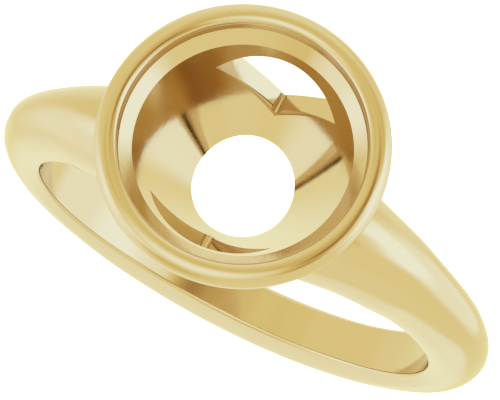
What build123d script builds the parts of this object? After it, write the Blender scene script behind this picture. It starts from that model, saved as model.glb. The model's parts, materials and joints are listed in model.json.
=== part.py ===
from build123d import *
from math import atan, cos, degrees, radians, sin, sqrt
import os

# A bezel ring mounting, cast in one piece. It is drawn upright about the centre of the finger hole:
# the hole runs along Y, the head's axis is +Z. At the end it is laid on its side, as it rests.
# All sizes are in millimetres.

# Finger hole
finger_diameter = 17.34

# Band: at the back, and where the shoulders run into the head
back_flat_width = 1.90          # the straight inner face, from edge to edge
back_width = 2.54               # at its widest
back_thickness = 2.25
head_flat_width = 5.10
head_width = 5.30
head_thickness = 3.00
flank_fullness = 0.65           # where each flank's bend lies, as a share of the widest place's height
band_root = 0.40                # how far the sections reach into the finger hole before it is cut
shoulder_end_angle = 175        # from the back of the ring

# Bezel cup, round the head's axis. Heights are above the top of the finger hole.
rim_height = 5.37
stone_radius = 4.33             # inside of the lip, where the stone's edge sits
lip_thickness = 0.48
stone_wall_height = 0.36        # the straight part of the lip's inside
seat_width = 0.47               # the conical bearing under the stone's edge
seat_drop = 0.42
ledge_width = 0.345             # outside the lip
ledge_drop = 0.30               # from the top of the lip to the ledge
rim_round = 0.20
bore_foot_radius = 1.96         # the conical bore, level with the top of the finger hole
foot_wall = 1.00                # the cup's wall, measured level, at the same height
knee_wall = 0.79                # and where its straight outside begins to flare
knee_height = 1.75
wall_end_slope = 42             # degrees from upright, where the flare meets the rim's rounding
cup_root = 1.10                 # how far the cup reaches into the finger hole before it is cut

# V windows through the cup, front and back
window_half_width = 2.36
window_corner_height = 3.45
window_crown_height = 3.91      # the top edge is a low arch
window_valley_height = 1.60     # where the two slopes end in the groove
window_side_sag = 0.08
groove_radius = 0.20

# The cup's lip is a wall with a half-round top
finger_radius = finger_diameter / 2
lip_radius = lip_thickness / 2
lip_outside = stone_radius + lip_thickness
lip_centre_height = rim_height - lip_radius
seat_outer_height = lip_centre_height - stone_wall_height
seat_inner_height = seat_outer_height - seat_drop
seat_inner_radius = stone_radius - seat_width
ledge_height = rim_height - ledge_drop
rim_radius = lip_outside + ledge_width

# Straight walls of the cup: the bore's slope, and the outside from its foot to the knee
bore_slope = (seat_inner_radius - bore_foot_radius) / seat_inner_height
wall_foot_radius = bore_foot_radius + foot_wall
knee_radius = bore_foot_radius + bore_slope * knee_height + knee_wall
wall_slope = (knee_radius - wall_foot_radius) / knee_height
bore_root_radius = bore_foot_radius - bore_slope * cup_root
wall_root_radius = wall_foot_radius - wall_slope * cup_root
rim_round_centre = (rim_radius - rim_round, ledge_height - rim_round)
wall_end = (
    rim_round_centre[0] + rim_round * cos(radians(wall_end_slope)),
    rim_round_centre[1] - rim_round * sin(radians(wall_end_slope)),
)

# Upright plane through the head's axis, with its origin at the top of the finger hole
head_plane = Plane(origin=(0, 0, finger_radius), x_dir=(1, 0, 0), z_dir=(0, -1, 0))

# Sections round the band, from the back (0 degrees) to the end under the head. The shares run from
# the size at the back (0) to the size at the head (1). The last column is the height of the widest
# place, as a share of the thickness there.
band_sections = [
    # angle, flat width, width, thickness, height of the widest place
    (0, 0.00, 0.00, 0.00, 0.71),
    (30, 0.00, -0.01, -0.09, 0.60),
    (60, 0.05, -0.01, -0.12, 0.34),
    (90, 0.11, -0.05, -0.25, 0.30),
    (115, 0.20, 0.01, -0.03, 0.19),
    (140, 0.43, 0.30, 0.33, 0.09),
    (160, 0.76, 0.71, 0.67, 0.07),
    (shoulder_end_angle, 1.00, 1.00, 1.00, 0.07),
]


def between(back, head, share):
    return back + share * (head - back)


def section_sizes(row):
    angle, flat_share, width_share, thickness_share, widest_share = row
    flat_half = between(back_flat_width, head_flat_width, flat_share) / 2
    widest_half = between(back_width, head_width, width_share) / 2
    thickness = between(back_thickness, head_thickness, thickness_share)
    return flat_half, widest_half, thickness, widest_share * thickness


def band_plane(angle):
    # Local x runs along the finger hole, local y straight out from its wall.
    turn = radians(angle)
    return Plane(
        origin=(finger_radius * sin(turn), 0, -finger_radius * cos(turn)),
        x_dir=(0, 1, 0),
        z_dir=(-cos(turn), 0, -sin(turn)),
    )


def band_section(angle, row):
    # A flat inner face, flanks that open outwards to the widest place, and a half-ellipse over it
    flat_half, widest_half, thickness, widest_height = section_sizes(row)
    bend_height = flank_fullness * widest_height
    with BuildSketch(band_plane(angle)) as section:
        with BuildLine():
            Polyline((-flat_half, 0), (-flat_half, -band_root), (flat_half, -band_root), (flat_half, 0))
            Bezier((flat_half, 0), (widest_half, bend_height), (widest_half, widest_height))
            EllipticalCenterArc(
                center=(0, widest_height),
                x_radius=widest_half,
                y_radius=thickness - widest_height,
                start_angle=0,
                arc_size=180,
            )
            Bezier((-widest_half, widest_height), (-widest_half, bend_height), (-flat_half, 0))
        make_face()
    return section.sketch


# Band and shoulders, swept round the finger hole's wall through their sections
left_sections = [band_section(-row[0], row) for row in reversed(band_sections[1:])]
right_sections = [band_section(row[0], row) for row in band_sections]
with BuildPart() as band:
    with BuildLine(Plane.XZ) as hole_wall:
        CenterArc(
            center=(0, 0),
            radius=finger_radius,
            start_angle=-90 - shoulder_end_angle,
            arc_size=2 * shoulder_end_angle,
        )
    sweep(sections=left_sections + right_sections, path=hole_wall.line, multisection=True)

# Room for the cup: the shoulders end inside the cup's wall, half way through it
room_depth = 2 * cup_root
room_foot_radius = (bore_foot_radius + wall_foot_radius) / 2 - bore_slope * room_depth
room_top_radius = (seat_inner_radius + knee_radius) / 2
with BuildPart() as cup_room:
    with BuildSketch(head_plane):
        with BuildLine():
            Polyline(
                (0, -room_depth),
                (room_foot_radius, -room_depth),
                (room_top_radius, (seat_inner_height + knee_height) / 2),
                (room_top_radius, rim_height),
                (0, rim_height),
                close=True,
            )
        make_face()
    revolve(axis=Axis.Z)

# Bezel cup, one profile turned round the head's axis
with BuildPart() as cup:
    with BuildSketch(head_plane):
        with BuildLine():
            Polyline(
                (bore_root_radius, -cup_root),
                (seat_inner_radius, seat_inner_height),
                (stone_radius, seat_outer_height),
                (stone_radius, lip_centre_height),
            )
            ThreePointArc(
                (stone_radius, lip_centre_height),
                (stone_radius + lip_radius, rim_height),
                (lip_outside, lip_centre_height),
            )
            Polyline(
                (lip_outside, lip_centre_height),
                (lip_outside, ledge_height),
                (rim_round_centre[0], ledge_height),
            )
            CenterArc(
                center=rim_round_centre,
                radius=rim_round,
                start_angle=90,
                arc_size=-90 - wall_end_slope,
            )
            TangentArc((knee_radius, knee_height), wall_end, tangent=(wall_slope, 1))
            Polyline(
                (knee_radius, knee_height),
                (wall_root_radius, -cup_root),
                (bore_root_radius, -cup_root),
            )
        make_face()
    revolve(axis=Axis.Z)

# The V window's outline, cut straight through from front to back
side_middle = (
    (window_half_width + groove_radius) / 2,
    (window_corner_height + window_valley_height) / 2 - window_side_sag,
)
with BuildPart() as window:
    with BuildSketch(head_plane):
        with BuildLine():
            ThreePointArc(
                (-window_half_width, window_corner_height),
                (0, window_crown_height),
                (window_half_width, window_corner_height),
            )
            ThreePointArc(
                (window_half_width, window_corner_height),
                side_middle,
                (groove_radius, window_valley_height),
            )
            ThreePointArc(
                (groove_radius, window_valley_height),
                (0, window_valley_height - groove_radius),
                (-groove_radius, window_valley_height),
            )
            ThreePointArc(
                (-groove_radius, window_valley_height),
                (-side_middle[0], side_middle[1]),
                (-window_half_width, window_corner_height),
            )
        make_face()
    extrude(amount=rim_radius, both=True)

# The whole mounting, upright
with BuildPart() as upright:
    add(band.part)
    add(cup_room.part, mode=Mode.SUBTRACT)
    add(cup.part)
    with BuildSketch(Plane.XZ):
        Circle(finger_radius)
    extrude(amount=rim_radius, both=True, mode=Mode.SUBTRACT)
    add(window.part, mode=Mode.SUBTRACT)

# How it rests on its side: on the rim's rounding and on the outside of the band's back. The rest
# plane touches both, so their distances from the finger hole's centre agree along its normal.
flat_half, widest_half, thickness, widest_height = section_sizes(band_sections[0])
head_reach = rim_round_centre[0]
head_to_back = finger_radius + rim_round_centre[1] + finger_radius + widest_height
settling_steps = 12
rest_tilt = 0
for step in range(settling_steps):
    rim_drop = head_reach * cos(rest_tilt) + rim_round
    back_drop = sqrt((widest_half * cos(rest_tilt)) ** 2 + ((thickness - widest_height) * sin(rest_tilt)) ** 2)
    rest_tilt = atan((rim_drop - back_drop) / (head_to_back * cos(rest_tilt)))
print("rest tilt", round(degrees(rest_tilt), 3))

# Laid on its side, its far (+Y) side down, with the origin under the middle of its box
lying = upright.part.rotate(Axis.X, degrees(rest_tilt) - 90)
box = lying.bounding_box()
with BuildPart() as ring_mounting:
    with Locations((-box.center().X, -box.center().Y, -box.min.Z)):
        add(lying)

os.makedirs("parts", exist_ok=True)
ring_mounting.part.label = "ring_mounting"
export_step(ring_mounting.part, "parts/ring_mounting.step")
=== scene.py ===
import bmesh
import bpy
import json
import numpy as np
from math import acos, atan2, cos, hypot, pi, radians, sin, sqrt
from mathutils import Matrix, Vector


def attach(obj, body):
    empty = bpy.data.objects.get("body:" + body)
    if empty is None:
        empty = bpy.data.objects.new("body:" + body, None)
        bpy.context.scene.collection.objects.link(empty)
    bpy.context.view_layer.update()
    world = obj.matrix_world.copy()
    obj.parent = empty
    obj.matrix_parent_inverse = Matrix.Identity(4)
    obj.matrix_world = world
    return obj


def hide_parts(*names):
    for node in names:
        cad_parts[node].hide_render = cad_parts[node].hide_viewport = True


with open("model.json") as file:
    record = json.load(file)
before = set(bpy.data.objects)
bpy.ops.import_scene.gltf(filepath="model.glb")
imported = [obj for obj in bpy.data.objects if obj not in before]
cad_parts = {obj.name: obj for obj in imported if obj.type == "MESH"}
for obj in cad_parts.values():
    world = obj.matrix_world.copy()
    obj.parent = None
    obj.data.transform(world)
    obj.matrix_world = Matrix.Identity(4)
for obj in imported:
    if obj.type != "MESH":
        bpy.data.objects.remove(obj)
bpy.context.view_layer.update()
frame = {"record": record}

# A bezel ring mounting, cast in one piece. It is made upright, in millimetres: the finger hole runs
# along Y about the origin and the head is up. Then it is laid on its side, where the frame's two
# mounts say.
mounts = {m["name"]: m for m in frame["record"]["mounts"]}
fingerMount, stoneMount = mounts["finger_hole"], mounts["stone_seat"]
holeAxis = -Vector(fingerMount["axis"]).normalized()
headAxis = Vector(stoneMount["axis"]).normalized()
ringTurn = Matrix((holeAxis.cross(headAxis), holeAxis, headAxis)).transposed().to_4x4()
ringToFrame = Matrix.Translation(fingerMount["pos_m"]) @ ringTurn @ Matrix.Scale(0.001, 4)
holeRadius = fingerMount["dims"]["r_mm"]

weldDistance = 0.0004  # millimetres


def addNode(tree, kind, settings=None, inputs=None):
    node = tree.nodes.new(kind)
    for name, value in (settings or {}).items():
        setattr(node, name, value)
    for socket, value in (inputs or {}).items():  # an output is linked, a value is set
        if isinstance(value, bpy.types.NodeSocket):
            tree.links.new(value, node.inputs[socket])
        else:
            node.inputs[socket].default_value = value
    return node.outputs[0] if len(node.outputs) else node


def linearColour(hexCode):
    channels = [int(hexCode[i : i + 2], 16) / 255 for i in (1, 3, 5)]
    return [c / 12.92 if c <= 0.04045 else ((c + 0.055) / 1.055) ** 2.4 for c in channels] + [1.0]


def meshObject(name, mesh):
    thing = bpy.data.objects.new(name, mesh)
    bpy.context.scene.collection.objects.link(thing)
    return thing


def newTree(name, inputs):
    tree = bpy.data.node_groups.new(name, "GeometryNodeTree")
    tree.is_modifier = True
    for label, kind in inputs:
        tree.interface.new_socket(label, in_out="INPUT", socket_type="NodeSocket" + kind)
    tree.interface.new_socket("Geometry", in_out="OUTPUT", socket_type="NodeSocketGeometry")
    return tree, tree.nodes.new("NodeGroupInput").outputs


def endTree(tree, geometry, material):
    realised = addNode(tree, "GeometryNodeRealizeInstances", {}, {"Geometry": geometry})
    finished = addNode(tree, "GeometryNodeSetMaterial", {}, {"Geometry": realised, "Material": material})
    addNode(tree, "NodeGroupOutput", {}, {0: finished})
    return tree


def runTree(name, tree, values):
    # the tree's named inputs are set by identifier, then its result becomes a plain mesh
    thing = meshObject(name, bpy.data.meshes.new(name + "Start"))
    modifier = thing.modifiers.new(name, "NODES")
    modifier.node_group = tree
    for item in tree.interface.items_tree:
        if item.in_out == "INPUT" and item.name in values:
            modifier[item.identifier] = values[item.name]
    evaluated = thing.evaluated_get(bpy.context.evaluated_depsgraph_get())
    made = bpy.data.meshes.new_from_object(evaluated)
    thing.modifiers.remove(modifier)
    thing.data = made
    made.name = name
    return thing


# Shading directions travel with every face's corners, so that cuts keep both sides smooth and exact
onPoints = {"data_type": "FLOAT_VECTOR", "domain": "POINT"}
onCorners = {"data_type": "FLOAT_VECTOR", "domain": "CORNER"}


def keepDirections(tree, geometry, directions):
    taken = addNode(tree, "GeometryNodeStoreNamedAttribute", onPoints, {
        "Geometry": geometry, "Name": "outwardsAtPoint", "Value": directions,
    })
    atPoint = addNode(tree, "GeometryNodeInputNamedAttribute", {"data_type": "FLOAT_VECTOR"}, {
        "Name": "outwardsAtPoint",
    })
    return addNode(tree, "GeometryNodeStoreNamedAttribute", onCorners, {
        "Geometry": taken, "Name": "outwards", "Value": atPoint,
    })


# Band: one section swept round the finger hole, its sizes blended from the back to the head
bandSizes = {  # millimetres and degrees
    "Finger Diameter": 2 * holeRadius,
    "Back Flat Width": 1.90,  # the straight inner face, from edge to edge
    "Back Width": 2.54,
    "Back Thickness": 2.25,
    "Head Flat Width": 5.10,
    "Head Width": 5.30,
    "Head Thickness": 3.00,
    "Flank Fullness": 0.65,  # where each flank bends, as a share of its height
    "Root": 0.40,  # how far the section reaches into the finger hole before it is cut
    "End Angle": 175.0,  # from the back of the ring
    "Steps Around": 281,
    "Steps Across": 121,
}
# By angle from the back: how far the flat width, the width and the thickness have gone from the size at
# the back (0) to the size at the head (1), and the height of the widest place as a share of the thickness
bandShares = {
    0: (0.00, 0.00, 0.00, 0.71),
    30: (0.00, -0.01, -0.09, 0.60),
    60: (0.05, -0.01, -0.12, 0.34),
    90: (0.11, -0.05, -0.25, 0.30),
    115: (0.20, 0.01, -0.03, 0.19),
    140: (0.43, 0.30, 0.33, 0.09),
    160: (0.76, 0.71, 0.67, 0.07),
    175: (1.00, 1.00, 1.00, 0.07),
}
sectionParts = {"crown": 0.60, "flank": 0.84, "root": 0.90}  # shares of the rows, from the top down
shareCurves = []  # the four blends, kept for the roundings along the finger hole


def addShareCurves(tree, turnShare):
    rows = sorted((0.5 + spot / 360, row) for angle, row in bandShares.items() for spot in {angle, -angle})
    shares = []
    for column in range(len(bandShares[0])):
        curveNode = addNode(tree, "ShaderNodeFloatCurve", {}, {"Value": turnShare}).node
        curveNode.mapping.use_clip = False
        curve = curveNode.mapping.curves[0]
        curve.points[0].location = (rows[0][0], rows[0][1][column])
        curve.points[1].location = (rows[-1][0], rows[-1][1][column])
        for spot, row in rows[1:-1]:
            curve.points.new(spot, row[column])
        curveNode.mapping.update()
        shares.append(curveNode.outputs[0])
        shareCurves.append(curveNode.mapping)
    return shares


def buildBandTree():
    tree, given = newTree(
        "sweptBand",
        [(name, "Int" if name.startswith("Steps") else "Float") for name in bandSizes]
        + [("Material", "Material")],
    )
    math, mapRange = "ShaderNodeMath", "ShaderNodeMapRange"
    grid = addNode(tree, "GeometryNodeMeshGrid", {}, {
        "Size X": 1.0, "Size Y": 1.0,
        "Vertices X": given["Steps Around"], "Vertices Y": given["Steps Across"],
    })
    place = addNode(tree, "ShaderNodeSeparateXYZ", {}, {0: addNode(tree, "GeometryNodeInputPosition")}).node
    around, across = place.outputs[0], place.outputs[1]

    # the last step at each end closes the section to a point
    gaps = addNode(tree, math, {"operation": "SUBTRACT"}, {0: given["Steps Around"], 1: 1.0})
    lastStep = addNode(tree, math, {"operation": "DIVIDE"}, {0: 1.0, 1: gaps})
    sweepEnd = addNode(tree, math, {"operation": "SUBTRACT"}, {0: 0.5, 1: lastStep})
    sweepStart = addNode(tree, math, {"operation": "MULTIPLY"}, {0: sweepEnd, 1: -1.0})
    endAngle = addNode(tree, math, {"operation": "RADIANS"}, {0: given["End Angle"]})
    startAngle = addNode(tree, math, {"operation": "MULTIPLY"}, {0: endAngle, 1: -1.0})
    turn = addNode(tree, mapRange, {}, {
        "Value": around, "From Min": sweepStart, "From Max": sweepEnd,
        "To Min": startAngle, "To Max": endAngle,
    })
    opening = addNode(tree, mapRange, {}, {
        "Value": addNode(tree, math, {"operation": "ABSOLUTE"}, {0: around}),
        "From Min": sweepEnd, "From Max": 0.5, "To Min": 1.0, "To Max": 0.0,
    })

    # the shares of the four sizes, as curves from one end of the band to the other
    turnShare = addNode(tree, mapRange, {}, {
        "Value": turn, "From Min": -pi, "From Max": pi, "To Min": 0.0, "To Max": 1.0,
    })
    shares = addShareCurves(tree, turnShare)
    flatWidth, width, thickness = [
        addNode(tree, "ShaderNodeMix", {"clamp_factor": False}, {
            "Factor": share, "A": given["Back " + size], "B": given["Head " + size],
        })
        for size, share in zip(("Flat Width", "Width", "Thickness"), shares)
    ]
    flatHalf = addNode(tree, math, {"operation": "DIVIDE"}, {0: flatWidth, 1: 2.0})
    widestHalf = addNode(tree, math, {"operation": "DIVIDE"}, {0: width, 1: 2.0})
    widestHeight = addNode(tree, math, {"operation": "MULTIPLY"}, {0: thickness, 1: shares[3]})
    bendHeight = addNode(tree, math, {"operation": "MULTIPLY"}, {0: widestHeight, 1: given["Flank Fullness"]})

    # down one side of the section: a quarter ellipse, the flank, its run into the root, the bottom
    down = addNode(tree, math, {"operation": "MULTIPLY"}, {
        0: addNode(tree, math, {"operation": "ABSOLUTE"}, {0: across}), 1: 2.0,
    })
    partEnds = [0.0, *sectionParts.values(), 1.0]
    partValues = ((0.0, pi / 2), (0.0, 1.0), (0.0, 1.0), (1.0, 0.0))
    crown, flank, rootPart, bottom = [
        addNode(tree, mapRange, {}, {
            "Value": down, "From Min": start, "From Max": end, "To Min": first, "To Max": last,
        })
        for start, end, (first, last) in zip(partEnds, partEnds[1:], partValues)
    ]
    flankSlope = addNode(tree, math, {"operation": "MULTIPLY"}, {0: bendHeight, 1: 2.0})
    rootRun = addNode(tree, math, {"operation": "DIVIDE"}, {0: given["Root"], 1: flankSlope})
    run = addNode(tree, math, {"operation": "MULTIPLY_ADD"}, {0: rootPart, 1: rootRun, 2: flank})
    runLeft = addNode(tree, math, {"operation": "SUBTRACT"}, {0: 1.0, 1: run})
    pinch = addNode(tree, math, {"operation": "SUBTRACT"}, {0: widestHalf, 1: flatHalf})
    crownSide = addNode(tree, math, {"operation": "MULTIPLY"}, {
        0: widestHalf, 1: addNode(tree, math, {"operation": "SINE"}, {0: crown}),
    })
    flankPinch = addNode(tree, math, {"operation": "MULTIPLY"}, {
        0: pinch, 1: addNode(tree, math, {"operation": "MULTIPLY"}, {0: run, 1: run}),
    })
    sideways = addNode(tree, math, {"operation": "SUBTRACT"}, {0: crownSide, 1: flankPinch})
    for factor in (bottom, opening, addNode(tree, math, {"operation": "SIGN"}, {0: across})):
        sideways = addNode(tree, math, {"operation": "MULTIPLY"}, {0: sideways, 1: factor})
    crownRise = addNode(tree, math, {"operation": "MULTIPLY"}, {
        0: addNode(tree, math, {"operation": "SUBTRACT"}, {0: thickness, 1: widestHeight}),
        1: addNode(tree, math, {"operation": "COSINE"}, {0: crown}),
    })
    bendPart = addNode(tree, math, {"operation": "MULTIPLY"}, {
        0: flankSlope, 1: addNode(tree, math, {"operation": "MULTIPLY"}, {0: run, 1: runLeft}),
    })
    widestPart = addNode(tree, math, {"operation": "MULTIPLY"}, {
        0: widestHeight, 1: addNode(tree, math, {"operation": "MULTIPLY"}, {0: runLeft, 1: runLeft}),
    })
    outwards = addNode(tree, math, {"operation": "ADD"}, {0: crownRise, 1: bendPart})
    outwards = addNode(tree, math, {"operation": "ADD"}, {0: outwards, 1: widestPart})
    middle = addNode(tree, math, {"operation": "DIVIDE"}, {0: thickness, 1: 2.0})
    outwards = addNode(tree, "ShaderNodeMix", {}, {"Factor": opening, "A": middle, "B": outwards})

    # bend the section round the hole
    hole = addNode(tree, math, {"operation": "DIVIDE"}, {0: given["Finger Diameter"], 1: 2.0})
    reach = addNode(tree, math, {"operation": "ADD"}, {0: hole, 1: outwards})
    drop = addNode(tree, math, {"operation": "MULTIPLY"}, {0: reach, 1: -1.0})
    x = addNode(tree, math, {"operation": "MULTIPLY"}, {
        0: reach, 1: addNode(tree, math, {"operation": "SINE"}, {0: turn}),
    })
    z = addNode(tree, math, {"operation": "MULTIPLY"}, {
        0: drop, 1: addNode(tree, math, {"operation": "COSINE"}, {0: turn}),
    })
    bent = addNode(tree, "GeometryNodeSetPosition", {}, {
        "Geometry": grid, "Position": addNode(tree, "ShaderNodeCombineXYZ", {}, {0: x, 1: sideways, 2: z}),
    })
    closed = addNode(tree, "GeometryNodeMergeByDistance", {}, {"Geometry": bent, "Distance": weldDistance})
    turnedOut = addNode(tree, "GeometryNodeFlipFaces", {}, {"Mesh": closed})
    kept = keepDirections(tree, turnedOut, addNode(tree, "GeometryNodeInputNormal"))
    return endTree(tree, kept, given["Material"])


# Turned pieces: a profile object, with the direction its surface faces at each point, goes round Z
def buildTurnedTree():
    tree, given = newTree("turnedPiece", [
        ("Profile", "Object"), ("Profile Points", "Int"), ("Steps Around", "Int"), ("Material", "Material"),
    ])
    math = "ShaderNodeMath"
    rowsAcross = addNode(tree, math, {"operation": "ADD"}, {0: given["Profile Points"], 1: 1.0})
    rowsAround = addNode(tree, math, {"operation": "ADD"}, {0: given["Steps Around"], 1: 1.0})
    grid = addNode(tree, "GeometryNodeMeshGrid", {}, {
        "Size X": 1.0, "Size Y": 1.0, "Vertices X": rowsAround, "Vertices Y": rowsAcross,
    })
    number = addNode(tree, "GeometryNodeInputIndex")
    inRow = addNode(tree, math, {"operation": "MODULO"}, {0: number, 1: rowsAcross})
    point = addNode(tree, math, {"operation": "MODULO"}, {0: inRow, 1: given["Profile Points"]})
    profileInfo = addNode(tree, "GeometryNodeObjectInfo", {}, {"Object": given["Profile"]}).node
    facing = addNode(tree, "GeometryNodeInputNamedAttribute", {"data_type": "FLOAT_VECTOR"}, {
        "Name": "facing",
    })
    place = addNode(tree, "ShaderNodeSeparateXYZ", {}, {0: addNode(tree, "GeometryNodeInputPosition")})
    turn = addNode(tree, math, {"operation": "MULTIPLY"}, {0: place, 1: 2 * pi})
    turned = []
    for value in (addNode(tree, "GeometryNodeInputPosition"), facing):
        sampled = addNode(tree, "GeometryNodeSampleIndex", {"data_type": "FLOAT_VECTOR"}, {
            "Geometry": profileInfo.outputs["Geometry"], "Value": value, "Index": point,
        })
        turned.append(addNode(tree, "ShaderNodeVectorRotate", {"rotation_type": "Z_AXIS"}, {
            "Vector": sampled, "Angle": turn,
        }))
    directed = addNode(tree, "GeometryNodeStoreNamedAttribute", onPoints, {
        "Geometry": grid, "Name": "facing", "Value": turned[1],
    })
    shaped = addNode(tree, "GeometryNodeSetPosition", {}, {"Geometry": directed, "Position": turned[0]})
    kept = keepDirections(tree, shaped, facing)
    closed = addNode(tree, "GeometryNodeMergeByDistance", {}, {"Geometry": kept, "Distance": weldDistance})
    turnedOut = addNode(tree, "GeometryNodeFlipFaces", {}, {"Mesh": closed})
    return endTree(tree, turnedOut, given["Material"])


def profileObject(name, points, facings):
    mesh = bpy.data.meshes.new(name)
    mesh.from_pydata([(r, 0, z) for r, z in points], [], [])
    directions = mesh.attributes.new("facing", "FLOAT_VECTOR", "POINT")
    for entry, (r, z) in zip(directions.data, facings):
        entry.vector = (r, 0, z)
    return meshObject(name, mesh)


# Rows of points, with the direction of the finished surface at each, made into one closed piece
def closedPiece(name, rows, facings):
    rows, facings = np.asarray(rows, float), np.asarray(facings, float)
    count, across = rows.shape[:2]
    faces = []
    for first in range(0, (count - 1) * across, across):
        for here in range(first, first + across):
            beside = first + (here + 1 - first) % across
            faces.append((here, here + across, beside + across, beside))
    faces += [tuple(range(across - 1, -1, -1)), tuple(range((count - 1) * across, count * across))]
    mesh = bpy.data.meshes.new(name)
    mesh.from_pydata(rows.reshape(-1, 3).tolist(), [], faces)
    corners = np.zeros(len(mesh.loops), np.int32)
    mesh.loops.foreach_get("vertex_index", corners)
    directions = mesh.attributes.new("outwards", "FLOAT_VECTOR", "CORNER")
    directions.data.foreach_set("vector", facings.reshape(-1, 3)[corners].astype(np.float32).ravel())
    work = bmesh.new()
    work.from_mesh(mesh)
    bmesh.ops.remove_doubles(work, verts=work.verts, dist=weldDistance)
    bmesh.ops.recalc_face_normals(work, faces=work.faces)
    work.to_mesh(mesh)
    work.free()
    return meshObject(name, mesh)


# Bezel cup: heights are above the top of the finger hole
cupSizes = {  # millimetres and degrees
    "stoneRadius": stoneMount["dims"]["r_mm"],  # inside of the lip, where the stone's edge sits
    "stoneWallHeight": stoneMount["dims"]["length_mm"],
    "seatWidth": 0.47,
    "seatDrop": 0.42,
    "rimHeight": 5.37,
    "rimWidth": 0.825,  # the low dome of the rim, from the inside of the lip out
    "rimCrown": 0.31,  # from the inside of the lip to the rim's highest line
    "lipRise": 0.24,  # from the stone's wall up to that line
    "rimDrop": 0.50,  # from that line down to the rim's widest place
    "rimRound": 0.20,  # under the rim's edge
    "boreFootRadius": 1.96,
    "footWall": 1.00,
    "kneeWall": 0.79,
    "kneeHeight": 1.75,  # where the straight outside begins to flare
    "wallEndSlope": 42.0,
    "root": 1.10,  # how far the cup reaches into the finger hole before it is cut
    "seatEdgeRound": 0.035,  # polishing rounds the edges a little
    "creaseRound": 0.07,
    "stepsAround": 224,
}
# No row comes near the top of the finger hole, where its edge would run along the cut
cupRows = {  # heights in millimetres, shares of a stretch, and steps
    "boreBelow": (-0.90, -0.70, -0.50, -0.30, -0.12),
    "boreFirst": 0.14,
    "boreSpacing": 0.20,
    "wall": (1.55, 1.30, 1.05, 0.80, 0.55, 0.30, 0.12, -0.12, -0.30, -0.50, -0.80),
    "seatShares": (0.2, 0.5, 0.8),
    "stoneWallShares": (0.3, 0.7),
    "cornerSteps": 5,
    "lipSteps": 20,
    "domeSteps": 36,
    "rimRoundSteps": 8,
    "flareSteps": 20,
}


def cupFacts():
    # what follows from the cup's sizes
    c = dict(cupSizes)
    c["lipStartHeight"] = c["rimHeight"] - c["lipRise"]
    c["seatOuterHeight"] = c["lipStartHeight"] - c["stoneWallHeight"]
    c["seatInnerHeight"] = c["seatOuterHeight"] - c["seatDrop"]
    c["seatInnerRadius"] = c["stoneRadius"] - c["seatWidth"]
    c["rimRadius"] = c["stoneRadius"] + c["rimWidth"]
    c["boreSlope"] = (c["seatInnerRadius"] - c["boreFootRadius"]) / c["seatInnerHeight"]
    c["wallFootRadius"] = c["boreFootRadius"] + c["footWall"]
    c["kneeRadius"] = c["boreFootRadius"] + c["boreSlope"] * c["kneeHeight"] + c["kneeWall"]
    c["wallSlope"] = (c["kneeRadius"] - c["wallFootRadius"]) / c["kneeHeight"]
    c["boreRootRadius"] = c["boreFootRadius"] - c["boreSlope"] * c["root"]
    c["wallRootRadius"] = c["wallFootRadius"] - c["wallSlope"] * c["root"]
    centre = c["rimCentre"] = (c["rimRadius"] - c["rimRound"], c["rimHeight"] - c["rimDrop"])
    slope = radians(c["wallEndSlope"])
    c["wallEnd"] = (centre[0] + c["rimRound"] * cos(slope), centre[1] - c["rimRound"] * sin(slope))
    # the flared outside: an arc that leaves the straight wall smoothly at the knee
    knee = Vector((c["kneeRadius"], c["kneeHeight"]))
    along = Vector((c["wallSlope"], 1)).normalized()
    side = Vector((along.y, -along.x))  # away from the head's axis
    chord = Vector(c["wallEnd"]) - knee
    c["flareRadius"] = chord.length_squared / (2 * chord.dot(side))
    c["flareCentre"] = knee + c["flareRadius"] * side
    return c


cup = cupFacts()


def arcPoints(centre, radius, start, end, steps, sign=1.0):
    # points on an arc, each with the direction the surface faces: away from the centre, or towards it
    angles = np.linspace(start, end, steps + 1)
    spokes = np.stack([np.cos(angles), np.sin(angles)], 1)
    return np.asarray(centre) + radius * spokes, sign * spokes


def ellipsePoints(centre, width, height, start, end, steps):
    angles = np.linspace(start, end, steps + 1)
    points = np.asarray(centre) + np.stack([width * np.cos(angles), height * np.sin(angles)], 1)
    facings = np.stack([height * np.cos(angles), width * np.sin(angles)], 1)
    return points, facings / np.linalg.norm(facings, axis=1)[:, None]


def leftOf(start, end):
    way = (end - start) / np.linalg.norm(end - start)
    return np.array([-way[1], way[0]])


def linePoints(start, end, shares):
    # places on a straight stretch, which faces left of the way
    spots = start + np.asarray(shares)[:, None] * (end - start)
    return spots, np.tile(leftOf(start, end), (len(spots), 1))


def cornerArc(before, corner, after, radius):
    # a small rounding between two straight stretches, which faces left of the way
    incoming, outgoing = corner - before, after - corner
    incoming, outgoing = incoming / np.linalg.norm(incoming), outgoing / np.linalg.norm(outgoing)
    bend = np.sign(incoming[0] * outgoing[1] - incoming[1] * outgoing[0])
    half = acos(np.clip(incoming @ outgoing, -1, 1)) / 2
    start = corner - incoming * radius * np.tan(half)
    centre = start + bend * radius * leftOf(before, corner)
    first = atan2(*(start - centre)[::-1])
    return arcPoints(centre, radius, first, first + bend * 2 * half, cupRows["cornerSteps"], -bend)


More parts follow.
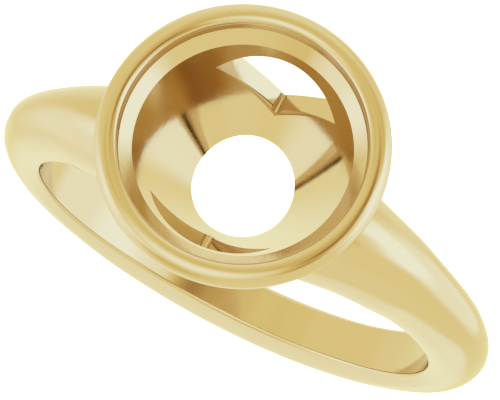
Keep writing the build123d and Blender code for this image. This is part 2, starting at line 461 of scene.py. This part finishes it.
def cupProfile():
    # up the bore, over the lip and down the outside, with the metal on the right
    c, rows = cup, cupRows
    place = lambda radius, height: np.array((radius, holeRadius + height))
    boreRoot = place(c["boreRootRadius"], -c["root"])
    seatInner = place(c["seatInnerRadius"], c["seatInnerHeight"])
    seatOuter = place(c["stoneRadius"], c["seatOuterHeight"])
    lipStart = place(c["stoneRadius"], c["lipStartHeight"])
    rimCentre = place(*c["rimCentre"])
    wallEnd = place(*c["wallEnd"])
    knee = place(c["kneeRadius"], c["kneeHeight"])
    wallRoot = place(c["wallRootRadius"], -c["root"])

    boreEnd = c["seatInnerHeight"] - rows["boreSpacing"] / 2
    boreRows = np.arange(rows["boreFirst"], boreEnd, rows["boreSpacing"])
    boreHeights = np.array((-c["root"], *rows["boreBelow"], *boreRows))
    wallHeights = np.array((*rows["wall"], -c["root"]))
    crown = c["stoneRadius"] + c["rimCrown"]
    flareCentre = place(*c["flareCentre"])
    start, end = (atan2(*(p - flareCentre)[::-1]) % (2 * pi) for p in (wallEnd, knee))
    parts = [
        linePoints(boreRoot, seatInner, (boreHeights + c["root"]) / (c["seatInnerHeight"] + c["root"])),
        cornerArc(boreRoot, seatInner, seatOuter, c["seatEdgeRound"]),
        linePoints(seatInner, seatOuter, rows["seatShares"]),
        cornerArc(seatInner, seatOuter, lipStart, c["creaseRound"]),
        linePoints(seatOuter, lipStart, rows["stoneWallShares"]),
        # the rim's dome: two quarter ellipses that share its highest line
        ellipsePoints((crown, lipStart[1]), c["rimCrown"], c["lipRise"], pi, pi / 2, rows["lipSteps"]),
        ellipsePoints(
            (crown, rimCentre[1]), c["rimRadius"] - crown, c["rimDrop"], pi / 2, 0, rows["domeSteps"],
        ),
        arcPoints(rimCentre, c["rimRound"], 0, -radians(c["wallEndSlope"]), rows["rimRoundSteps"]),
        arcPoints(flareCentre, c["flareRadius"], start, end, rows["flareSteps"], -1.0),
        linePoints(knee, wallRoot, (c["kneeHeight"] - wallHeights) / (c["kneeHeight"] + c["root"])),
    ]
    return np.concatenate([p for p, f in parts]), np.concatenate([f for p, f in parts])


# The V windows, in the plane across the ring: x, and height above the top of the finger hole
windowSizes = {  # millimetres
    "halfWidth": 2.36,
    "cornerHeight": 3.45,
    "crownHeight": 3.91,
    "slopeEnd": (0.20, 1.60),  # a place on each slope, just above the groove
    "sideSag": 0.08,
    "slopePast": 0.4,  # how far the slopes' roundings run past the ring's middle before they are cut there
    "grooveAtBore": (2.6, 1.60, 0.205),  # distance from the head's axis, height of its middle, radius
    "grooveOutside": (3.4, 1.55, 0.125),
    "groovePast": (0.4, 0.6),  # how far it runs on at its two ends, as shares of the way between those places
    "innerRound": 0.33,  # edges at the bore, widest at the bottom of the V
    "outerRound": 0.09,  # edges at the outside
    "archRound": 0.05,
    "archRunIn": 0.9,  # from a corner to where the arch's rounding has its full size
    "cornerShare": 0.06,  # what is left of an edge's rounding at a window's corner
    "cutterPast": 1.0,  # how far the straight cutters run past the rim
    "slopeSteps": 60,
    "roundedSlopeSteps": 70,
    "archSteps": 56,
    "grooveSteps": 48,
    "grooveRows": 21,
    "rowsAcross": 40,
}
roundingSizes = {  # millimetres, and shares of a rounding's radius
    "leastRadius": 0.006,
    "steps": 8,
    "proudShare": 0.015,  # how far its ball reaches past the two surfaces it joins, so that the cut is clean
    "leastProud": 0.0006,
    "clearShare": 0.35,  # how far the cutter stands clear of the metal
    "leastClear": 0.004,
    "mostLead": 0.45,  # the turn left out at each end of its arc, at most this share of the arc's angle
    "pastMiddle": 0.0008,  # two slopes' cutters overlap by this much each at the ring's middle plane
    "touchSteps": 4,
}


def circleThrough(a, b, c):
    (ax, ay), (bx, by), (cx, cy) = a, b, c
    d = 2 * (ax * (by - cy) + bx * (cy - ay) + cx * (ay - by))
    a2, b2, c2 = ax * ax + ay * ay, bx * bx + by * by, cx * cx + cy * cy
    centre = np.array((
        (a2 * (by - cy) + b2 * (cy - ay) + c2 * (ay - by)) / d,
        (a2 * (cx - bx) + b2 * (ax - cx) + c2 * (bx - ax)) / d,
    ))
    return centre, hypot(ax - centre[0], ay - centre[1])


def slopeChain(side, past=0.0, steps=windowSizes["slopeSteps"]):
    # one slope of the V, from its corner down to the middle plane, or some way past it
    w = windowSizes
    corner = (side * w["halfWidth"], w["cornerHeight"])
    endX, endHeight = w["slopeEnd"]
    middle = (side * (w["halfWidth"] + endX) / 2, (w["cornerHeight"] + endHeight) / 2 - w["sideSag"])
    centre, radius = circleThrough(corner, middle, (side * endX, endHeight))
    start = atan2(corner[1] - centre[1], corner[0] - centre[0])
    bottom = centre[1] - sqrt(radius**2 - centre[0] ** 2)
    end = atan2(bottom - centre[1], -centre[0])
    end += np.sign(end - start) * past / radius
    return arcPoints(centre, radius, start, end, steps, -1.0)


def archChain():
    corner = np.array((windowSizes["halfWidth"], windowSizes["cornerHeight"]))
    centre, radius = circleThrough(corner, (0, windowSizes["crownHeight"]), corner * (-1, 1))
    start = atan2(corner[1] - centre[1], corner[0] - centre[0])
    return arcPoints(centre, radius, start, pi - start, windowSizes["archSteps"], -1.0)


def windowCutter(reach):
    arch, left, right = archChain(), slopeChain(-1), slopeChain(1)
    points, facings = (np.concatenate([arch[k], left[k], right[k][::-1]]) for k in (0, 1))
    x, z = points[:, 0], holeRadius + points[:, 1]
    direction = np.stack([facings[:, 0], 0 * x, facings[:, 1]], 1)
    rows = [np.stack([x, 0 * x + y, z], 1) for y in np.linspace(-reach, reach, windowSizes["rowsAcross"])]
    return closedPiece("windowCutter", rows, [direction] * len(rows))


def grooveCutter(name, front):
    # the small tapered groove at the bottom of the V, on one face of the ring
    (y0, h0, r0), (y1, h1, r1) = windowSizes["grooveAtBore"], windowSizes["grooveOutside"]
    angles = np.linspace(0, 2 * pi, windowSizes["grooveSteps"], endpoint=False)
    taper = (r0 - r1) / (y1 - y0)
    pastBore, pastOutside = windowSizes["groovePast"]
    rows = []
    for share in np.linspace(-pastBore, 1 + pastOutside, windowSizes["grooveRows"]):
        radius, height = r0 + share * (r1 - r0), holeRadius + h0 + share * (h1 - h0)
        y = front * (y0 + share * (y1 - y0))
        rows.append(np.stack([radius * np.cos(angles), 0 * angles + y, height + radius * np.sin(angles)], 1))
    facing = np.stack([-np.cos(angles), 0 * angles - front * taper, -np.sin(angles)], 1)
    return closedPiece(name, rows, [facing] * len(rows))


def outsideAt(height):
    # the cup's outside: its radius at a height, and the direction it faces there (out, up)
    if height <= cup["kneeHeight"]:
        facing = np.array((1.0, -cup["wallSlope"]))
        radius = cup["kneeRadius"] + cup["wallSlope"] * (height - cup["kneeHeight"])
        return radius, facing / np.linalg.norm(facing)
    centre, radius = cup["flareCentre"], cup["flareRadius"]
    across = sqrt(radius**2 - (height - centre.y) ** 2)
    return centre.x - across, np.array((across, centre.y - height)) / radius


def boreAt(height):
    facing = np.array((-1.0, cup["boreSlope"]))
    return cup["boreFootRadius"] + cup["boreSlope"] * height, facing / np.linalg.norm(facing)


def proudOf(radius):
    return max(roundingSizes["proudShare"] * radius, roundingSizes["leastProud"])


def smoothStep(share):
    return share * share * (3 - 2 * share)


def endAtMiddle(rows, side):
    # each lengthwise line of points stops where it meets the ring's middle plane, a hair past it
    past = roundingSizes["pastMiddle"]
    for line in rows.transpose(1, 0, 2):
        over = np.nonzero(line[:, 0] * side < -past)[0][0]
        before, after = line[over - 1].copy(), line[over].copy()
        share = (before[0] + past * side) / (before[0] - after[0])
        line[over:] = before + share * (after - before)
    return rows


def turnBetween(a, b, angle, share):
    return (sin((1 - share) * angle) * a + sin(share * angle) * b) / sin(angle)


def roundingCutter(name, centres, facingsA, facingsB, radii, side=0):
    # takes an edge off: each row's arc turns from one surface's direction to the other's, about a centre
    rows, facings = [], []
    for centre, a, b, radius in zip(centres, facingsA, facingsB, radii):
        angle = acos(np.clip(a @ b, -1, 1))
        lead = min(acos(1 - proudOf(radius) / radius), roundingSizes["mostLead"] * angle)
        arc, directions = [], []
        for share in np.linspace(0, 1, roundingSizes["steps"] + 1):
            arc.append(centre + radius * turnBetween(a, b, angle, share))
            even = np.clip((share * angle - lead) / (angle - 2 * lead), 0, 1)
            directions.append(turnBetween(a, b, angle, even))
        clear = max(roundingSizes["clearShare"] * radius, roundingSizes["leastClear"])
        beyond = [arc[-1] + clear * b, centre + (radius + clear) * (a + b) / (1 + a @ b), arc[0] + clear * a]
        rows.append(arc + beyond)
        facings.append(directions + [b, a + b, a])
    if side:
        rows = endAtMiddle(np.array(rows), side)
    return closedPiece(name, rows, facings)


def roundingRow(x, h, fx, fh, radius, surfaceAt, front):
    # a ball in the metal that touches the window's wall, at (x, h) where it faces (fx, fh), and the turned
    # surface: its centre, and the directions from there to both
    offset = radius - proudOf(radius)
    cx, ch = x - offset * fx, h - offset * fh
    contact = ch
    for step in range(roundingSizes["touchSteps"]):  # the height where the ball touches the turned surface
        r, (outward, upward) = surfaceAt(contact)
        contact = ch + offset * upward
    reach = r - offset * outward
    cy = front * sqrt(reach**2 - cx**2)
    away = np.array((cx, cy)) / reach
    return (cx, cy, holeRadius + ch), (fx, 0, fh), (away[0] * outward, away[1] * outward, upward)


def windowRounding(name, chain, surfaceAt, fullRadius, front, side=0):
    # the edge between a window's wall and the bore or the outside, on one face of the ring; with a side,
    # one slope of the V, from its corner to the middle plane, and else the arch
    points, facings = chain
    if side:
        swell = np.clip(1 - side * points[:, 0] / windowSizes["halfWidth"], 0, 1)
    else:
        steps = np.linalg.norm(np.diff(points, axis=0), axis=1)
        run = np.concatenate([[0], np.cumsum(steps)])
        swell = smoothStep(np.clip(np.minimum(run, run[-1] - run) / windowSizes["archRunIn"], 0, 1))
    least = windowSizes["cornerShare"]
    radii = np.maximum(fullRadius * (least + (1 - least) * swell), roundingSizes["leastRadius"])
    rows = [
        roundingRow(*point, *facing, radius, surfaceAt, front)
        for point, facing, radius in zip(points, facings, radii)
    ]
    centres, wall, other = (np.array(column) for column in zip(*rows))
    return roundingCutter(name, centres, wall, other, radii, side)


# The finger hole, and the polished edges along it, which fade out where the shoulders meet the cup
holeSizes = {  # millimetres and degrees
    "edgeRound": 0.24,
    "endShare": 0.15,  # what is left of the rounding at its ends
    "endAngle": 168.0,  # from the back of the ring
    "taperAngle": 12.0,
    "edgeSteps": 480,
    "stepsAround": 400,
    "rowsAcross": 30,
}


def bandShareAt(column, angle):
    return shareCurves[column].evaluate(shareCurves[column].curves[0], 0.5 + angle / 360)


def bandSizeAt(size, column, angle):
    back, head = bandSizes["Back " + size], bandSizes["Head " + size]
    return back + bandShareAt(column, angle) * (head - back)


def holeRounding(name, side):
    # along one edge of the finger hole, from shoulder to shoulder, past the back
    centres, wall, flank, radii = [], [], [], []
    endAngle, least = holeSizes["endAngle"], holeSizes["endShare"]
    for angle in np.linspace(-endAngle, endAngle, holeSizes["edgeSteps"] + 1):
        left = min(max((endAngle - abs(angle)) / holeSizes["taperAngle"], 0), 1)
        radius = holeSizes["edgeRound"] * (least + (1 - least) * smoothStep(left))
        flatHalf = bandSizeAt("Flat Width", 0, angle) / 2
        widestHalf = bandSizeAt("Width", 1, angle) / 2
        widestHeight = bandShareAt(3, angle) * bandSizeAt("Thickness", 2, angle)
        facing = np.array((bandSizes["Flank Fullness"] * widestHeight, flatHalf - widestHalf))
        facing = facing / np.linalg.norm(facing)
        offset = radius - proudOf(radius)
        sideways = -offset * (1 + facing[1]) / facing[0]
        out = np.array((sin(radians(angle)), 0, -cos(radians(angle))))
        across = np.array((0, side, 0))
        centres.append((holeRadius + offset) * out + (flatHalf + sideways) * across)
        wall.append(-out)
        flank.append(facing[0] * across + facing[1] * out)
        radii.append(radius)
    return roundingCutter(name, centres, wall, flank, radii)


def fingerCutter(reach):
    angles = np.linspace(0, 2 * pi, holeSizes["stepsAround"], endpoint=False)
    spokes = np.stack([np.cos(angles), 0 * angles, np.sin(angles)], 1)
    half = bandSizes["Head Width"] / 2
    places = [-reach, *np.linspace(-half, half, holeSizes["rowsAcross"]), reach]
    rows = [holeRadius * spokes + (0, y, 0) for y in places]
    return closedPiece("fingerCutter", rows, [-spokes] * len(rows))


def roomCutter():
    # room for the cup inside the band's ends: half way through the cup's wall
    depth = 2 * cup["root"]
    foot = (cup["boreFootRadius"] + cup["wallFootRadius"]) / 2 - cup["boreSlope"] * depth
    top = (cup["seatInnerRadius"] + cup["kneeRadius"]) / 2
    topHeight = (cup["seatInnerHeight"] + cup["kneeHeight"]) / 2
    angles = np.linspace(0, 2 * pi, cupSizes["stepsAround"], endpoint=False)
    spokes = np.stack([np.cos(angles), np.sin(angles), 0 * angles], 1)
    rings = [(foot, -depth), (top, topHeight), (top, cup["rimHeight"])]
    rows = [r * spokes + (0, 0, holeRadius + h) for r, h in rings]
    return closedPiece("room", rows, [-spokes] * len(rows))


# Joining and cutting, then the kept directions become the shading
def buildMountingTree(cutters):
    names = ["Band", "Room", "Cup"] + [cutter.name for cutter in cutters]
    tree, given = newTree("ringMounting", [(name, "Object") for name in names] + [("Material", "Material")])
    shapes = {
        name: addNode(tree, "GeometryNodeObjectInfo", {}, {"Object": given[name]}).node.outputs["Geometry"]
        for name in names
    }
    boolean = "GeometryNodeMeshBoolean"
    made = addNode(tree, boolean, {"operation": "DIFFERENCE", "solver": "MANIFOLD"}, {
        0: shapes["Band"], 1: shapes["Room"],
    })
    joined = addNode(tree, boolean, {"operation": "UNION", "solver": "MANIFOLD"}, {1: made}).node
    tree.links.new(shapes["Cup"], joined.inputs[1])
    cut = addNode(tree, boolean, {"operation": "DIFFERENCE", "solver": "MANIFOLD"}, {
        0: joined.outputs[0],
    }).node
    for cutter in cutters:
        tree.links.new(shapes[cutter.name], cut.inputs[1])
    smooth = addNode(tree, "GeometryNodeSetShadeSmooth", {}, {"Geometry": cut.outputs[0]})
    directions = addNode(tree, "GeometryNodeInputNamedAttribute", {"data_type": "FLOAT_VECTOR"}, {
        "Name": "outwards",
    })
    shaded = addNode(tree, "GeometryNodeSetMeshNormal", {"mode": "FREE", "domain": "CORNER"}, {
        "Mesh": smooth,
    }).node
    tree.links.new(directions, shaded.inputs[-1])
    return endTree(tree, shaded.outputs[0], given["Material"])


shading = {"mendBeyond": 20.0, "sharpBeyond": 1.5}  # degrees


def settleDirections(mesh):
    # a cut leaves some corners with the direction of the face across the edge: those take their neighbours'
    count, faceCount = len(mesh.loops), len(mesh.polygons)
    corners, edges = np.zeros(count, np.int32), np.zeros(count, np.int32)
    firsts, totals = np.zeros(faceCount, np.int32), np.zeros(faceCount, np.int32)
    directions, faceNormals = np.zeros(3 * count, np.float32), np.zeros(3 * faceCount, np.float32)
    mesh.loops.foreach_get("vertex_index", corners)
    mesh.polygons.foreach_get("loop_start", firsts)
    mesh.polygons.foreach_get("loop_total", totals)
    mesh.polygons.foreach_get("normal", faceNormals)
    mesh.attributes["outwards"].data.foreach_get("vector", directions)
    directions, faceNormals = directions.reshape(-1, 3), faceNormals.reshape(-1, 3)
    directions /= np.maximum(np.linalg.norm(directions, axis=1), 1e-9)[:, None]
    faceOf = np.repeat(np.arange(faceCount), totals)
    near = cos(radians(shading["mendBeyond"]))
    good = (directions * faceNormals[faceOf]).sum(1) > near
    order = np.argsort(corners, kind="stable")
    starts = np.searchsorted(corners[order], np.arange(len(mesh.vertices) + 1))
    mended = directions.copy()
    for corner in np.nonzero(~good)[0]:
        normal = faceNormals[faceOf[corner]]
        around = order[starts[corners[corner]] : starts[corners[corner] + 1]]
        around = around[good[around] & (directions[around] @ normal > near)]
        if not len(around):
            first = firsts[faceOf[corner]]
            around = np.arange(first, first + totals[faceOf[corner]])
            around = around[good[around]]
        mended[corner] = directions[around].mean(0) if len(around) else normal
    mended /= np.linalg.norm(mended, axis=1)[:, None]
    mesh.attributes["custom_normal"].data.foreach_set("vector", mended.ravel())

    # an edge is sharp where the directions on its two sides differ at either end
    mesh.loops.foreach_get("edge_index", edges)
    following = np.arange(1, count + 1)
    following[firsts + totals - 1] = firsts
    one, two = np.argsort(edges, kind="stable").reshape(-1, 2).T
    alike = np.minimum(
        (mended[one] * mended[following[two]]).sum(1),
        (mended[following[one]] * mended[two]).sum(1),
    )
    sharp = alike < cos(radians(shading["sharpBeyond"]))
    mesh.edges.foreach_set("use_edge_sharp", sharp)
    print("shading set,", int((~good).sum()), "of", count, "corners mended,", int(sharp.sum()), "sharp edges")


def faceCutters(face, front):
    # the window's rounded edges, the finger hole's edge and the groove on one face of the ring
    w = windowSizes
    surfaces = (("Bore", boreAt, w["innerRound"]), ("Outside", outsideAt, w["outerRound"]))
    cutters = []
    for place, surfaceAt, slopeRound in surfaces:
        for label, side in (("left", -1), ("right", 1)):
            slope = slopeChain(side, w["slopePast"], w["roundedSlopeSteps"])
            cutters.append(windowRounding(label + place + face, slope, surfaceAt, slopeRound, front, side))
        cutters.append(windowRounding("arch" + place + face, archChain(), surfaceAt, w["archRound"], front))
    return cutters + [holeRounding("holeEdge" + face, front), grooveCutter("groove" + face, front)]


def buildRing(material):
    band = runTree("band", buildBandTree(), {**bandSizes, "Material": material})
    points, facings = cupProfile()
    profile = profileObject("cupProfile", points, facings)
    cupPiece = runTree("cup", buildTurnedTree(), {
        "Profile": profile, "Profile Points": len(points),
        "Steps Around": cupSizes["stepsAround"], "Material": material,
    })
    print("band and cup made,", len(band.data.polygons), "and", len(cupPiece.data.polygons), "faces")
    room = roomCutter()
    reach = cup["rimRadius"] + windowSizes["cutterPast"]
    cutters = [fingerCutter(reach), windowCutter(reach)] + faceCutters("Front", -1) + faceCutters("Back", 1)
    values = {"Band": band, "Room": room, "Cup": cupPiece, "Material": material}
    values.update({cutter.name: cutter for cutter in cutters})
    ring = runTree("ringMounting", buildMountingTree(cutters), values)
    settleDirections(ring.data)
    ring.data.transform(ringToFrame)
    for thing in [band, profile, cupPiece, room] + cutters:
        bpy.data.objects.remove(thing)
    return ring


# 14 karat yellow gold, cast and polished by hand: a clear mirror with a little haze and the faint
# waviness that a buffing wheel leaves, deep yellow where it mirrors itself and pale where it mirrors light
gold = {
    "colour": "#E2CDAE",
    "roughness": (0.07, 0.13),  # well buffed, and hazy
    "hazeSize": 0.7,  # millimetres
    "hazeRange": (0.3, 0.7),  # of the noise
    "hazeDetail": 3.0,
    "hazeGrain": 0.6,
    "waveSize": 0.16,  # millimetres: real buffing marks are finer, these are as coarse as the picture shows
    "waveHeight": 0.0010,
    "waveDetail": 2.0,
    "waveGrain": 0.5,
}


def makeGold():
    material = bpy.data.materials.new("polished yellow gold")
    material.use_nodes = True
    tree = material.node_tree
    tree.nodes.clear()
    spot = addNode(tree, "ShaderNodeTexCoord").node.outputs["Object"]
    haze = addNode(tree, "ShaderNodeTexNoise", {}, {
        "Vector": spot, "Scale": 1000 / gold["hazeSize"],
        "Detail": gold["hazeDetail"], "Roughness": gold["hazeGrain"],
    })
    roughness = addNode(tree, "ShaderNodeMapRange", {}, {
        "Value": haze, "From Min": gold["hazeRange"][0], "From Max": gold["hazeRange"][1],
        "To Min": gold["roughness"][0], "To Max": gold["roughness"][1],
    })
    waves = addNode(tree, "ShaderNodeTexNoise", {}, {
        "Vector": spot, "Scale": 1000 / gold["waveSize"],
        "Detail": gold["waveDetail"], "Roughness": gold["waveGrain"],
    })
    bump = addNode(tree, "ShaderNodeBump", {}, {
        "Strength": 1.0, "Distance": gold["waveHeight"] / 1000, "Height": waves,
    })
    shader = addNode(tree, "ShaderNodeBsdfPrincipled", {}, {
        "Base Color": linearColour(gold["colour"]), "Metallic": 1.0, "Roughness": roughness, "Normal": bump,
    })
    addNode(tree, "ShaderNodeOutputMaterial", {}, {"Surface": shader})
    return material


goldMaterial = makeGold()
ring = buildRing(goldMaterial)
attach(ring, "root")
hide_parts("ring_mounting")
print("ring made,", len(ring.data.polygons), "faces")


# Camera: the photograph's view of the upright ring, carried into the frame
view = {
    "tilt": 16.523,  # degrees, of the head's axis away from the line of sight
    "turn": 26.219,
    "roll": -0.415,
    "distance": 90.701,  # millimetres
    "offset": (0.274, 1.928),
    "lens": 162.12,
    "sensor": 36.0,
    "clip": (0.01, 20.0),  # metres
}


def addCamera():
    tilt, turn, roll = (radians(view[name]) for name in ("tilt", "turn", "roll"))
    right = Vector((1, 0, 0))
    upward = Vector((0, cos(tilt), -sin(tilt)))
    towards = Vector((0, sin(tilt), cos(tilt)))
    columns = (cos(turn) * right - sin(turn) * upward, sin(turn) * right + cos(turn) * upward, towards)
    toView = Matrix.Rotation(roll, 3, "Z") @ Matrix(columns).transposed()
    spot = toView.transposed() @ Vector((*view["offset"], view["distance"]))
    data = bpy.data.cameras.new("camera")
    data.lens = view["lens"]
    data.sensor_width = view["sensor"]
    data.clip_start, data.clip_end = view["clip"]
    camera = bpy.data.objects.new("camera", data)
    bpy.context.scene.collection.objects.link(camera)
    turned = (ringTurn.to_3x3() @ toView.transposed()).to_4x4()
    camera.matrix_world = Matrix.Translation(ringToFrame @ spot) @ turned
    bpy.context.scene.camera = camera
    return camera


camera = addCamera()


# Studio: a pale surround of soft round panels, placed by their angles from the camera's line of sight.
# Its light is warmer where it is dimmer, as in a small tent.
studio = {
    "tent": 0.92,
    "panels": {  # degrees to the right of straight ahead, degrees up, half width, softness of the edge, level
        "rightBox": (76.5, -6.5, 32.5, 9, 1.03),
        "rightBright": (113, 1, 26.5, 9, 1.09),
        "lowBack": (-23, -39, 26.5, 6.5, 0.98),
        "lowBackRight": (9, -47, 9.5, 3.5, 1.00),
        "leftBox": (282, -7, 31, 14, 1.01),
        "leftNear": (256, -1.5, 18, 11, 1.07),
        "leftNearLow": (242, -22, 17.5, 10, 1.02),
        "darkAbove": (128, 34, 17, 10, 0.81),
        "darkAboveRight": (166, 34, 20, 4.5, 0.85),
        "aboveLeft": (212, 27.5, 21, 3.5, 0.89),
        "aboveLeftDim": (207, 28.5, 10, 2, 0.82),
        "nearLow": (221, -45.5, 17, 2.5, 0.91),
        "nearLowLeft": (240.5, -45, 15, 13, 0.80),
        "rightMid": (140, -11.5, 15.5, 10, 0.94),
        "viewer": (196, -7, 20.5, 15, 1.05),
        "darkBand": (158, 19.5, 11, 9, 0.37),
        "darkBandMid": (155.5, 1.5, 9, 9, 0.38),
        "darkBandLow": (153, -20.5, 9.5, 8, 0.63),
        "darkTop": (168, 17, 9, 8, 0.77),
        "backUp": (352, 32.5, 19.5, 30, 0.98),
        "top": (34, 62, 41.5, 12, 0.97),
        "rightUp": (67, 46, 9.5, 18, 0.85),
        "leftUp": (264, 48, 24.5, 4, 0.91),
        "below": (86, -89.5, 19.5, 7, 0.93),
    },
    "lightColours": (  # level, and the light's colour there
        (0.20, (0.20, 0.104, 0.036)),
        (0.40, (0.40, 0.246, 0.090)),
        (0.60, (0.60, 0.438, 0.170)),
        (0.75, (0.75, 0.628, 0.236)),
        (0.90, (0.90, 0.860, 0.445)),
        (1.00, (1.00, 1.090, 0.920)),
        (1.10, (1.10, 1.331, 1.452)),
        (1.25, (1.25, 1.675, 2.140)),
    ),
    "floorSize": 6.0,  # metres
    "floorColour": "#F4F4F3",
    "floorRoughness": 0.9,
    "floorGlow": 0.95,  # a light table: it keeps the background white under the ring too
    "floorLight": 1.0,
    "floorLightAngle": 120.0,  # degrees
}


def buildWorld():
    world = bpy.data.worlds.new("studio tent")
    bpy.context.scene.world = world
    world.use_nodes = True
    tree = world.node_tree
    tree.nodes.clear()
    sight = addNode(tree, "ShaderNodeTexCoord").node.outputs["Generated"]
    turned = camera.matrix_world.to_3x3().normalized()
    level = None
    for label, (across, up, halfWidth, softness, brightness) in studio["panels"].items():
        across, up = radians(across), radians(up)
        towards = turned @ Vector((cos(up) * sin(across), sin(up), -cos(up) * cos(across)))
        along = addNode(tree, "ShaderNodeVectorMath", {"operation": "DOT_PRODUCT"}, {
            0: sight, 1: towards,
        }).node.outputs["Value"]
        apart = addNode(tree, "ShaderNodeMath", {"operation": "ARCCOSINE", "use_clamp": False}, {0: along})
        covers = addNode(tree, "ShaderNodeMapRange", {"interpolation_type": "SMOOTHSTEP", "label": label}, {
            "Value": apart, "To Min": 1.0, "To Max": 0.0,
            "From Min": radians(halfWidth - softness), "From Max": radians(halfWidth + softness),
        })
        level = addNode(tree, "ShaderNodeMix", {}, {
            "Factor": covers, "A": studio["tent"] if level is None else level, "B": brightness,
        })
    first, last = studio["lightColours"][0][0], studio["lightColours"][-1][0]
    share = addNode(tree, "ShaderNodeMapRange", {}, {"Value": level, "From Min": first, "From Max": last})
    tint = addNode(tree, "ShaderNodeValToRGB", {}, {"Fac": share}).node
    stops = tint.color_ramp.elements
    while len(stops) < len(studio["lightColours"]):
        stops.new(0.5)
    for stop, (spot, light) in zip(stops, studio["lightColours"]):
        stop.position = (spot - first) / (last - first)
        stop.color = (*light, 1.0)
    background = addNode(tree, "ShaderNodeBackground", {}, {"Color": tint.outputs["Color"], "Strength": 1.0})
    addNode(tree, "ShaderNodeOutputWorld", {}, {"Surface": background})


def addFloor():
    half = studio["floorSize"] / 2
    mesh = bpy.data.meshes.new("floor")
    corners = [(-half, -half, 0), (half, -half, 0), (half, half, 0), (-half, half, 0)]
    mesh.from_pydata(corners, [], [(0, 1, 2, 3)])
    floor = meshObject("floor", mesh)
    material = bpy.data.materials.new("matt white floor")
    material.use_nodes = True
    shader = material.node_tree.nodes["Principled BSDF"]
    shader.inputs["Base Color"].default_value = linearColour(studio["floorColour"])
    shader.inputs["Roughness"].default_value = studio["floorRoughness"]
    shader.inputs["Emission Color"].default_value = linearColour(studio["floorColour"])
    shader.inputs["Emission Strength"].default_value = studio["floorGlow"]
    mesh.materials.append(material)
    floor.visible_glossy = False  # the metal mirrors the tent all round


def addFloorLight():
    # a wide lamp overhead, for the floor alone
    data = bpy.data.lights.new("floorLight", "SUN")
    data.energy = studio["floorLight"]
    data.angle = radians(studio["floorLightAngle"])
    lamp = bpy.data.objects.new("floorLight", data)
    bpy.context.scene.collection.objects.link(lamp)
    lamp.visible_glossy = False


buildWorld()
addFloor()
addFloorLight()
bpy.context.scene.view_settings.view_transform = "Standard"
print("camera, floor and light made")
